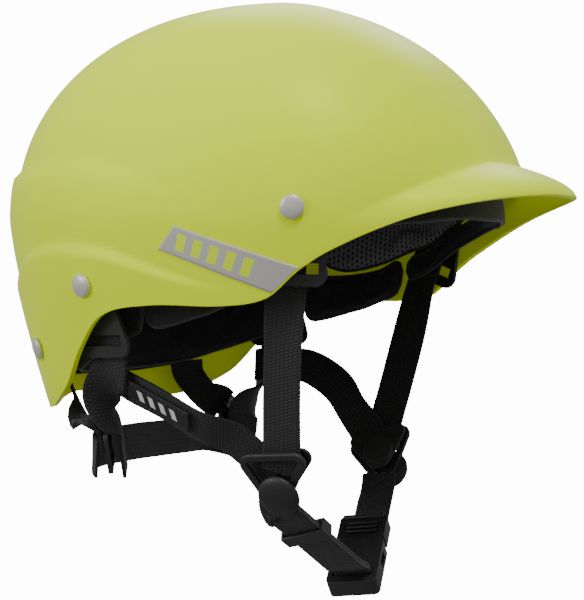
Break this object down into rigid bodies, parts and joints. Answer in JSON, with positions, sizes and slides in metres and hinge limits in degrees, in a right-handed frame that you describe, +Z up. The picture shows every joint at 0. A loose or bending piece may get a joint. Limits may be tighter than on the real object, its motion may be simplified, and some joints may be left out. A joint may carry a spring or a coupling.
{
  "type": "water helmet",
  "caption": "Open-face paddling helmet with short brim, foam and mesh pads, riveted strap harness, chin yokes and side-release buckle",
  "frame": {"origin": "centre of the crown pad's flat underside, where the top of the wearer's head meets the helmet", "axes": "+X forward over the brim, +Y the wearer's left, +Z up, helmet level"},
  "size_m": [0.2774, 0.218, 0.2836],
  "materials": {
    "shell_yellow": "satin moulded shell, high-visibility yellow-green",
    "liner_foam": "closed-cell impact foam, matt black",
    "pad_fabric": "brushed black pad cover with piped edges",
    "mesh_fabric": "grey spacer mesh pad cover",
    "rivet_metal": "satin light grey domed rivet",
    "webbing": "black woven polyester webbing",
    "harness_plastic": "black moulded acetal, fine matt texture",
    "label": null
  },
  "bodies": {
    "helmet": {"shell": "shell_yellow", "foam_liner": "liner_foam", "crown_pad": "pad_fabric", "brow_pad": "pad_fabric", "rear_pad": "pad_fabric", "nape_cradle": "harness_plastic", "temple_pad_right": "mesh_fabric", "temple_pad_left": "mesh_fabric", "ear_pad_right": "pad_fabric", "ear_pad_left": "pad_fabric", "rivet_front_right": "rivet_metal", "rivet_front_left": "rivet_metal", "rivet_rear_upper_right": "rivet_metal", "rivet_rear_upper_left": "rivet_metal", "rivet_rear_lower_right": "rivet_metal", "rivet_rear_lower_left": "rivet_metal", "washer_front_right": "rivet_metal", "washer_front_left": "rivet_metal", "washer_rear_upper_right": "rivet_metal", "washer_rear_upper_left": "rivet_metal", "washer_rear_lower_right": "rivet_metal", "washer_rear_lower_left": "rivet_metal"},
    "chin_harness": {"front_hanger_right": "harness_plastic", "front_hanger_left": "harness_plastic", "front_strap_right": "webbing", "front_strap_left": "webbing", "label_strap_right": "webbing", "label_strap_left": "webbing", "yoke_frame_right": "harness_plastic", "yoke_frame_left": "harness_plastic", "yoke_cap_right": "harness_plastic", "yoke_cap_left": "harness_plastic", "yoke_back_right": "harness_plastic", "yoke_back_left": "harness_plastic", "strap_label_right": "label", "chin_web_right": "webbing", "chin_web_left": "webbing", "buckle_socket": "harness_plastic"},
    "nape_loop": {"rear_hanger_right": "harness_plastic", "rear_hanger_left": "harness_plastic", "drop_strap_right": "webbing", "drop_strap_left": "webbing", "ladder_lock_right": "harness_plastic", "ladder_lock_left": "harness_plastic", "nape_strap_right": "webbing", "nape_strap_left": "webbing", "nape_band": "webbing"},
    "buckle_clip": {"buckle_clip": "harness_plastic", "chin_web_fold": "webbing"},
    "prong_left": {"buckle_prong_left": "harness_plastic"},
    "prong_right": {"buckle_prong_right": "harness_plastic"},
    "keeper": {"strap_keeper": "harness_plastic"}
  },
  "joints": [
    {"name": "chin_harness_swing", "type": "hinge", "parent": "helmet", "child": "chin_harness", "pos_m": [0.04991, 0, -0.0759], "axis": [0, 1, 0], "range_deg": [-1.5, 2.5]},
    {"name": "nape_loop_swing", "type": "hinge", "parent": "helmet", "child": "nape_loop", "pos_m": [-0.05261, 0, -0.1119], "axis": [0, 1, 0], "range_deg": [-2.1, 3.5]},
    {"name": "buckle_clip_slide", "type": "slide", "parent": "chin_harness", "child": "buckle_clip", "axis": [-0.1915, 0.7797, 0.5962], "range_m": [0, 0.018]},
    {"name": "prong_left_flex", "type": "hinge", "parent": "buckle_clip", "child": "prong_left", "pos_m": [0.04384, 0.01693, -0.23533], "axis": [0, 0.6074, -0.7944], "range_deg": [0, 6], "stiffness_Nm_per_rad": 0.5},
    {"name": "prong_right_flex", "type": "hinge", "parent": "buckle_clip", "child": "prong_right", "pos_m": [0.02696, 0.01432, -0.23734], "axis": [0, -0.6074, 0.7944], "range_deg": [0, 6], "stiffness_Nm_per_rad": 0.5},
    {"name": "keeper_slide", "type": "slide", "parent": "chin_harness", "child": "keeper", "axis": [0.1805, 0.8358, -0.5186], "range_m": [0, 0.012]}
  ],
  "couplings": [
    {"joint": "nape_loop_swing", "follows": "chin_harness_swing", "ratio": 1.4}
  ]
}
